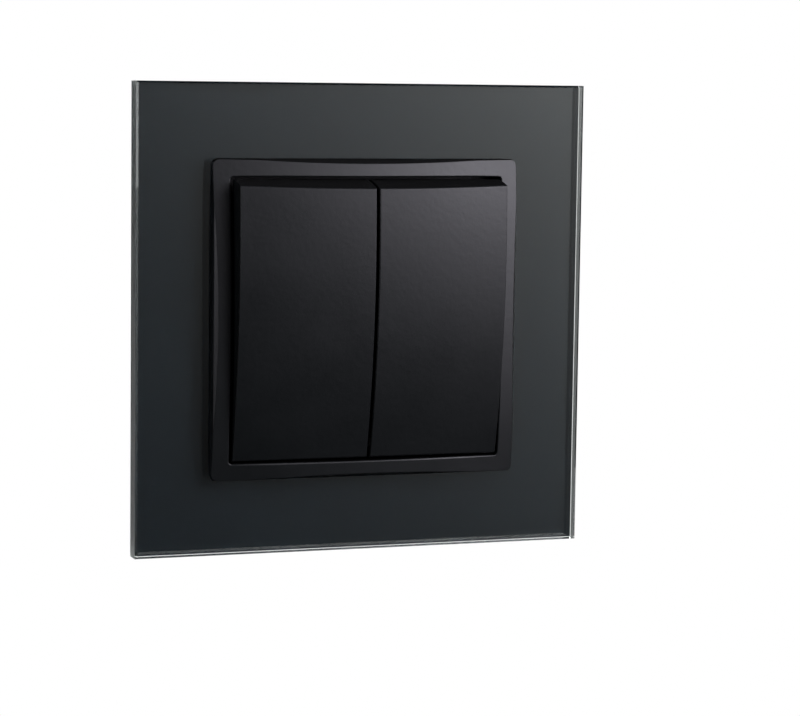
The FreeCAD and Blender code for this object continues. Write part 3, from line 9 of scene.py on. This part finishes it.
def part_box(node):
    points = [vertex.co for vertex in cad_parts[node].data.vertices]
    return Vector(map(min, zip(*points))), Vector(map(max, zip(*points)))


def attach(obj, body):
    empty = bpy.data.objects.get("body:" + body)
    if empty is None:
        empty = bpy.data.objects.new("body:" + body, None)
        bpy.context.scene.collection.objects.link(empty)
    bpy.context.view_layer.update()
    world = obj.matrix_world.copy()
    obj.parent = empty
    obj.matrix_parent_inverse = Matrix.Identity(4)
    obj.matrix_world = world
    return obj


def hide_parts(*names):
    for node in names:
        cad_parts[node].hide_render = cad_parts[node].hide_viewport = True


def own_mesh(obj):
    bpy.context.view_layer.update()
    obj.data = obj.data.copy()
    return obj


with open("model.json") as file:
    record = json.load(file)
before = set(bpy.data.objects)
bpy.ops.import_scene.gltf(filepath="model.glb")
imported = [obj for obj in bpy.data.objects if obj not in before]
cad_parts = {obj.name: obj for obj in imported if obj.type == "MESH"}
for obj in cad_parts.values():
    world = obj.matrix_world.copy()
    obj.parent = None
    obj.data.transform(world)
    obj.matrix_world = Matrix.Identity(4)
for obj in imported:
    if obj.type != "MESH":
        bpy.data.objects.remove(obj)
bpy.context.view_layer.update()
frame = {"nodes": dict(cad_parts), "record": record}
nodes = frame["nodes"]
MM = 0.001


# Shader helpers

def add(tree, kind, inputs=None, **settings):
    """A shader node; inputs maps a socket's name or number to a value or another socket."""
    node = tree.nodes.new("ShaderNode" + kind)
    for key, value in settings.items():
        setattr(node, key, value)
    for key, value in (inputs or {}).items():
        if isinstance(value, bpy.types.NodeSocket):
            tree.links.new(value, node.inputs[key])
        else:
            node.inputs[key].default_value = value
    return node


def maths(tree, operation, first, second=0.0):
    """One step of arithmetic on numbers or sockets."""
    return add(tree, "Math", {0: first, 1: second}, operation=operation).outputs[0]


def noise(tree, place, scale, detail=4.0, rough=0.55):
    """Noise that lies between 0 and 1, and mostly between 0.3 and 0.7."""
    node = add(tree, "TexNoise", {"Vector": place, "Scale": scale, "Detail": detail,
                                  "Roughness": rough})
    return node.outputs["Fac"]


def between(tree, value, low, high, out_low=0.0, out_high=1.0, kind="LINEAR"):
    """The value, moved from the range low to high to the range out_low to out_high."""
    node = add(tree, "MapRange", {"Value": value, "From Min": low, "From Max": high,
                                  "To Min": out_low, "To Max": out_high},
               interpolation_type=kind)
    return node.outputs["Result"]


def rise(tree, value, start, end):
    """A smooth step from 0 at start to 1 at end."""
    return between(tree, value, start, end, kind="SMOOTHSTEP")


def chosen(tree, factor, first, second):
    """The first number where factor is 0, the second where it is 1, and a mix between."""
    return add(tree, "Mix", {0: factor, 2: first, 3: second}, data_type="FLOAT").outputs[0]


def blended(tree, factor, first, second):
    """The first colour where factor is 0, the second where it is 1, and a mix between."""
    node = add(tree, "Mix", {0: factor}, data_type="RGBA")
    for socket, value in ((node.inputs[6], first), (node.inputs[7], second)):
        if isinstance(value, bpy.types.NodeSocket):
            tree.links.new(value, socket)
        else:
            socket.default_value = (*value, 1.0)
    return node.outputs[2]


def object_place(tree):
    """The place on the piece, which moves with it."""
    return add(tree, "TexCoord").outputs["Object"]


def normal_parts(tree):
    """The face's own normal, without bump, as its parts X, Y and Z."""
    normal = add(tree, "NewGeometry").outputs["True Normal"]
    return add(tree, "SeparateXYZ", {0: normal}).outputs


def side_mask(tree, limit):
    """1 on faces that look neither to the front nor to the back, by the normal's part along Y."""
    depth = maths(tree, "ABSOLUTE", normal_parts(tree)["Y"])
    return maths(tree, "LESS_THAN", depth, limit)


def material(name):
    """A new material, its node tree and its shader."""
    new = bpy.data.materials.new(name)
    new.use_nodes = True
    return new, new.node_tree, new.node_tree.nodes["Principled BSDF"]


def link(tree, value, shader, socket):
    """Lets value feed that socket of the shader, instead of what fed it before."""
    tree.links.new(value, shader.inputs[socket])


def feed(shader, socket):
    """The output that feeds that socket of the shader."""
    return shader.inputs[socket].links[0].from_socket


# Materials; colour and gloss vary over these ranges of the noise

COLOUR_NOISE = (0.3, 0.7)
GLOSS_NOISE = (0.25, 0.75)
GLOSS_SPREAD = 0.12
WIDE_SHARE = 0.7
BEVEL_SAMPLES = 6


def surface(name, colour, roughness, grain, height, spread=0.10, edge=0.12,
            metallic=0.0, stretch=(1, 1, 1), patch=60.0):
    """Moulded plastic or worked metal: uneven colour and gloss, fine grain, eased edges.

    grain and patch are the scales of the fine and the wide noise. The grain's height and the
    edge's radius are in millimetres, and spread is the share by which the colour varies."""
    new, tree, shader = material(name)
    shader.inputs["Metallic"].default_value = metallic
    place = object_place(tree)
    stretched = add(tree, "Mapping", {"Vector": place, "Scale": stretch}).outputs["Vector"]
    wide = noise(tree, place, patch, detail=3.0)
    fine = noise(tree, stretched, grain, detail=5.0, rough=0.6)
    tone = chosen(tree, WIDE_SHARE, fine, wide)
    darker = [part * (1 - spread) for part in colour]
    lighter = [part * (1 + spread) for part in colour]
    link(tree, blended(tree, between(tree, tone, *COLOUR_NOISE), darker, lighter),
         shader, "Base Color")
    gloss = between(tree, tone, *GLOSS_NOISE,
                    roughness * (1 - GLOSS_SPREAD), roughness * (1 + GLOSS_SPREAD))
    link(tree, gloss, shader, "Roughness")
    eased = add(tree, "Bevel", {"Radius": edge * MM}, samples=BEVEL_SAMPLES).outputs["Normal"]
    bump = add(tree, "Bump", {"Strength": 1.0, "Distance": height * MM, "Height": fine,
                              "Normal": eased})
    link(tree, bump.outputs["Normal"], shader, "Normal")
    return new


def black_plastic():
    """The plastic of bezel and rockers; its walls are smoother, and where they face up they carry
    painted shade: no gloss and a flat dark colour of their own.
    """
    gloss_level = 0.54
    wall_limit = 0.65
    wall_roughness = 0.30
    # Painted shade: walls whose normal points up past this limit lose their gloss and take this
    # flat dark colour
    painted_shade_limit = 0.6
    painted_shade_colour = (0.011, 0.011, 0.012)
    new = surface("black_plastic_look", (0.0052, 0.0066, 0.0076), roughness=0.37,
                  grain=900.0, height=0.022, edge=0.2)
    tree = new.node_tree
    shader = tree.nodes["Principled BSDF"]
    shader.inputs["Specular Tint"].default_value = (0.93, 0.90, 1.0, 1.0)
    shader.inputs["Specular IOR Level"].default_value = gloss_level
    wall = side_mask(tree, wall_limit)
    # Mask of the walls that face up, where the painted shade goes
    painted_shade_mask = maths(tree, "MULTIPLY", wall,
                maths(tree, "GREATER_THAN", normal_parts(tree)["Z"], painted_shade_limit))
    link(tree, chosen(tree, wall, feed(shader, "Roughness"), wall_roughness),
         shader, "Roughness")
    link(tree, chosen(tree, painted_shade_mask, gloss_level, 0.0), shader, "Specular IOR Level")
    link(tree, blended(tree, painted_shade_mask, feed(shader, "Base Color"), painted_shade_colour),
         shader, "Base Color")
    return new


def clear_glass():
    """Polished float glass with ground side faces, faint marks on the polished ones."""
    polished_tint = (0.95, 0.985, 0.975)
    ground_tint = (0.88, 0.95, 0.93)
    ground_height = 0.006 * MM
    new, tree, shader = material("clear_glass_look")
    shader.inputs["Transmission Weight"].default_value = 1.0
    shader.inputs["IOR"].default_value = 1.52
    place = object_place(tree)
    side = side_mask(tree, limit=0.5)
    marks = noise(tree, place, scale=160.0, detail=6.0, rough=0.7)
    polished = between(tree, marks, 0.55, 0.8, out_low=0.0, out_high=0.03)
    haze = noise(tree, place, scale=2500.0)
    ground = between(tree, haze, 0.3, 0.7, out_low=0.42, out_high=0.6)
    link(tree, chosen(tree, side, polished, ground), shader, "Roughness")
    link(tree, blended(tree, side, polished_tint, ground_tint), shader, "Base Color")
    grain = noise(tree, place, scale=3000.0, detail=5.0, rough=0.7)
    relief = maths(tree, "MULTIPLY", side, grain)
    bump = add(tree, "Bump", {"Strength": 1.0, "Distance": ground_height, "Height": relief})
    link(tree, bump.outputs["Normal"], shader, "Normal")
    return new


def back_coat():
    """The dark coat behind the glass, with the faint speckle of a screened layer."""
    darker = (0.0245, 0.0315, 0.0400)
    lighter = (0.0285, 0.0365, 0.0455)
    speckle_share = 0.5
    new, tree, shader = material("back_coat_look")
    shader.inputs["Specular IOR Level"].default_value = 0.0
    place = object_place(tree)
    wide = noise(tree, place, scale=25.0, detail=2.0)
    speckle = noise(tree, place, scale=2200.0, rough=0.7)
    tone = chosen(tree, speckle_share, wide, speckle)
    link(tree, blended(tree, between(tree, tone, 0.35, 0.65), darker, lighter),
         shader, "Base Color")
    link(tree, between(tree, wide, 0.3, 0.7, out_low=0.59, out_high=0.63),
         shader, "Roughness")
    return new


# The looks by the record's material slots

looks = {
    "clear_glass": clear_glass(),
    "dark_film": back_coat(),
    "foam": surface("foam_look", (0.05, 0.05, 0.05), roughness=0.9, grain=1800.0,
                    height=0.08),
    "carrier_plastic": surface("carrier_look", (0.045, 0.045, 0.048), roughness=0.5,
                               grain=1500.0, height=0.008),
    "black_plastic": black_plastic(),
    "ring_steel": surface("ring_steel_look", (0.62, 0.63, 0.64), roughness=0.34,
                          grain=500.0, height=0.003, metallic=1.0, stretch=(1, 1, 9),
                          patch=90.0),
    "steel": surface("steel_look", (0.60, 0.60, 0.62), roughness=0.30, grain=900.0,
                     height=0.003, metallic=1.0),
    "light_insulator": surface("light_insulator_look", (0.74, 0.74, 0.71), roughness=0.45,
                               grain=1400.0, height=0.006, spread=0.04),
    "grey_insulator": surface("grey_insulator_look", (0.34, 0.35, 0.36), roughness=0.48,
                              grain=1400.0, height=0.006, spread=0.06),
    "brass_bar": surface("brass_look", (0.78, 0.58, 0.27), roughness=0.30, grain=700.0,
                         height=0.003, metallic=1.0, stretch=(7, 1, 1)),
    "contact_silver": surface("silver_look", (0.82, 0.81, 0.78), roughness=0.28,
                              grain=1500.0, height=0.002, metallic=1.0),
    "spring_steel": surface("spring_look", (0.46, 0.46, 0.48), roughness=0.28,
                            grain=1200.0, height=0.001, metallic=1.0, edge=0.04),
    "cradle_plastic": surface("cradle_look", (0.05, 0.05, 0.055), roughness=0.5,
                              grain=1500.0, height=0.006),
    "plunger_plastic": surface("plunger_look", (0.78, 0.76, 0.70), roughness=0.30,
                               grain=1500.0, height=0.003, spread=0.04),
    "release_plastic": surface("release_look", (0.72, 0.24, 0.05), roughness=0.32,
                               grain=1500.0, height=0.003, spread=0.06),
}
for subpart in frame["record"]["subparts"]:
    for spot in nodes[subpart["node"]].material_slots:
        spot.material = looks[subpart["material_slot"]]


# The coat behind the glass, a hair behind its back face so that the two never share a plane

COAT_HAIR = 0.02 * MM
COAT_CORNER = 0.1 * MM
HOLE_HALF = 29.6 * MM
HOLE_CORNER = 3.0 * MM
CORNER_STEPS = 8


def ring_points(half, radius):
    """Corners of a square of the given half side, rounded, anticlockwise from the right."""
    points = []
    for turn in range(4):
        start = turn * math.pi / 2
        middle = start + math.pi / 4
        centre = Vector((math.copysign(half - radius, math.cos(middle)),
                         math.copysign(half - radius, math.sin(middle))))
        for step in range(CORNER_STEPS + 1):
            angle = start + step / CORNER_STEPS * math.pi / 2
            points.append(centre + Vector((math.cos(angle), math.sin(angle))) * radius)
    return points


def square_ring(name, outer, inner, front, back):
    """A flat ring between two rounded squares, from y = front to y = back."""
    mesh = bmesh.new()
    rows = []
    for points, depth in ((outer, front), (outer, back), (inner, back), (inner, front)):
        rows.append([mesh.verts.new((point.x, depth, point.y)) for point in points])
    count = len(outer)
    for first, second in zip(rows, rows[1:] + rows[:1]):
        for index in range(count):
            following = (index + 1) % count
            mesh.faces.new((first[index], first[following],
                            second[following], second[index]))
    bmesh.ops.recalc_face_normals(mesh, faces=mesh.faces)
    data = bpy.data.meshes.new(name)
    mesh.to_mesh(data)
    mesh.free()
    item = bpy.data.objects.new(name, data)
    bpy.context.scene.collection.objects.link(item)
    return item


low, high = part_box("backing_film")
coat = square_ring("back_coat", ring_points(high[0], COAT_CORNER),
                   ring_points(HOLE_HALF, HOLE_CORNER), low[1] + COAT_HAIR, high[1])
coat.data.materials.append(looks["dark_film"])
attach(coat, "switch")
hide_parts("backing_film")


# The plunger springs, each copied into a mesh of its own that moves with its rocker unit, in
# place of the CAD part

for side in ("left", "right"):
    node = side + "_plunger_spring"
    low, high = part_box(node)
    coil = bpy.data.objects.new(side + "_plunger_coil", nodes[node].data.copy())
    bpy.context.scene.collection.objects.link(coil)
    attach(coil, side + "_rocker_unit")
    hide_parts(node)
    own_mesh(coil)


# Camera, turned from straight ahead by yaw, pitch and roll; to_row takes its axes, with Y up,
# to those of the row frame, with Z up

YAW = math.radians(19.26)
PITCH = math.radians(6.04)
ROLL = math.radians(-0.77)
CAMERA_PLACE = (-0.1633, -0.4986, 0.0469)
LENS = 120.9
SENSOR = 36.0

seen = (Matrix.Rotation(ROLL, 3, "Z") @ Matrix.Rotation(PITCH, 3, "X")
        @ Matrix.Rotation(YAW, 3, "Y")).transposed()
to_row = Matrix(((1, 0, 0), (0, 0, -1), (0, 1, 0)))
camera = bpy.data.objects.new("camera", bpy.data.cameras.new("camera"))
camera.matrix_world = Matrix.Translation(CAMERA_PLACE) @ (to_row @ seen).to_4x4()
camera.data.sensor_fit = "HORIZONTAL"
camera.data.sensor_width = SENSOR
camera.data.lens = LENS
bpy.context.scene.collection.objects.link(camera)
bpy.context.scene.camera = camera
bpy.context.scene.view_settings.view_transform = "Standard"


# Room: a soft glow above on the right, a faint one behind on the left, and a white backdrop
# that the camera sees and that shines through the glass. The pairs are the values of a
# direction's part, along Y or for REAR_LEFT along X, between which a light comes in or goes out

GLOW_AZIMUTH = 39.8
GLOW_ELEVATION = 19.3
GLOW_STRENGTH = 11.0
GLOW_SOFTNESS = 0.0422
REAR_IN = (0.35, 0.6)
REAR_OUT = (0.8, 0.95)
REAR_LEFT = (0.0, -0.3)
REAR_STRENGTH = 0.42
BACKDROP_IN = (-0.15, 0.35)
BACKDROP_STRENGTH = 0.85


def aim(azimuth, elevation, distance=1.0):
    """Point at that distance; azimuth 0 is in front of the switch, positive to the right."""
    turn = math.radians(azimuth)
    height = math.radians(elevation)
    return Vector((math.sin(turn) * math.cos(height), -math.cos(turn) * math.cos(height),
                   math.sin(height))) * distance


def soft_glow(tree, direction):
    """Light that falls off smoothly round the direction it is aimed at."""
    centre = aim(GLOW_AZIMUTH, GLOW_ELEVATION)
    towards = add(tree, "VectorMath", {0: direction, 1: centre},
                  operation="DOT_PRODUCT").outputs["Value"]
    fall = maths(tree, "DIVIDE", maths(tree, "SUBTRACT", towards, 1.0), GLOW_SOFTNESS)
    return maths(tree, "MULTIPLY", maths(tree, "EXPONENT", fall), GLOW_STRENGTH)


def rear_light(tree, across, depth):
    """A faint ring of light behind the switch, on its left only."""
    ring = maths(tree, "SUBTRACT", rise(tree, depth, *REAR_IN), rise(tree, depth, *REAR_OUT))
    left = rise(tree, across, *REAR_LEFT)
    return maths(tree, "MULTIPLY", maths(tree, "MULTIPLY", ring, left), REAR_STRENGTH)


def room():
    """The world's light, by direction and by the kind of ray that meets it."""
    world = bpy.data.worlds.new("room")
    world.use_nodes = True
    tree = world.node_tree
    tree.nodes.clear()
    ray = add(tree, "LightPath").outputs
    direction = add(tree, "TexCoord").outputs["Generated"]
    parts = add(tree, "SeparateXYZ", {0: direction}).outputs
    behind = rise(tree, parts["Y"], *BACKDROP_IN)
    through = maths(tree, "MULTIPLY", behind, ray["Is Transmission Ray"])
    backdrop = maths(tree, "MULTIPLY", through, BACKDROP_STRENGTH)
    lights = maths(tree, "ADD", soft_glow(tree, direction),
                   rear_light(tree, parts["X"], parts["Y"]))
    strength = chosen(tree, ray["Is Camera Ray"], maths(tree, "ADD", lights, backdrop), 1.0)
    background = add(tree, "Background", {"Color": (1, 1, 1, 1), "Strength": strength})
    add(tree, "OutputWorld", {"Surface": background.outputs[0]})
    return world


bpy.context.scene.world = room()


# Pale floor, well below the switch, which hangs as on a wall

FLOOR_MIDDLE = Vector((0, 3.1, -0.5))
FLOOR_HALF = 3.0


def plane(name, middle, half):
    """A level square from its middle and half its side."""
    corners = [middle + Vector((x * half, y * half, 0))
               for x, y in ((-1, -1), (1, -1), (1, 1), (-1, 1))]
    data = bpy.data.meshes.new(name)
    data.from_pydata([tuple(corner) for corner in corners], [], [(0, 1, 2, 3)])
    item = bpy.data.objects.new(name, data)
    bpy.context.scene.collection.objects.link(item)
    return item


def floor_look():
    """White to the camera and in reflections, pale to the light, and clear from below."""
    new, tree, shader = material("floor_look")
    shader.inputs["Base Color"].default_value = (0.85, 0.85, 0.85, 1)
    shader.inputs["Roughness"].default_value = 0.8
    white = add(tree, "Emission", {"Color": (1, 1, 1, 1), "Strength": 1.0})
    ray = add(tree, "LightPath").outputs
    mirrored = maths(tree, "MAXIMUM", ray["Is Glossy Ray"], ray["Is Transmission Ray"])
    shown = maths(tree, "MAXIMUM", ray["Is Camera Ray"], mirrored)
    above = add(tree, "MixShader", {0: shown, 1: shader.outputs[0], 2: white.outputs[0]})
    clear = add(tree, "BsdfTransparent")
    below = add(tree, "NewGeometry").outputs["Backfacing"]
    sided = add(tree, "MixShader", {0: below, 1: above.outputs[0], 2: clear.outputs[0]})
    tree.links.new(sided.outputs[0], tree.nodes["Material Output"].inputs["Surface"])
    return new


floor = plane("floor", FLOOR_MIDDLE, FLOOR_HALF)
floor.data.materials.append(floor_look())


# A weak light far round on the left for the edges, and one for the back

LAMP_DISTANCE = 1.2


def lamp(name, azimuth, elevation, size, energy):
    """A square lamp that faces the switch and stays out of the picture."""
    data = bpy.data.lights.new(name, "AREA")
    data.size = size
    data.energy = energy
    item = bpy.data.objects.new(name, data)
    item.location = aim(azimuth, elevation, LAMP_DISTANCE)
    item.rotation_euler = (-item.location).to_track_quat("-Z", "Y").to_euler()
    item.visible_camera = False
    bpy.context.scene.collection.objects.link(item)


lamp("left_lamp", azimuth=-84, elevation=15, size=0.7, energy=3.8)
lamp("back_lamp", azimuth=160, elevation=35, size=0.8, energy=8.0)
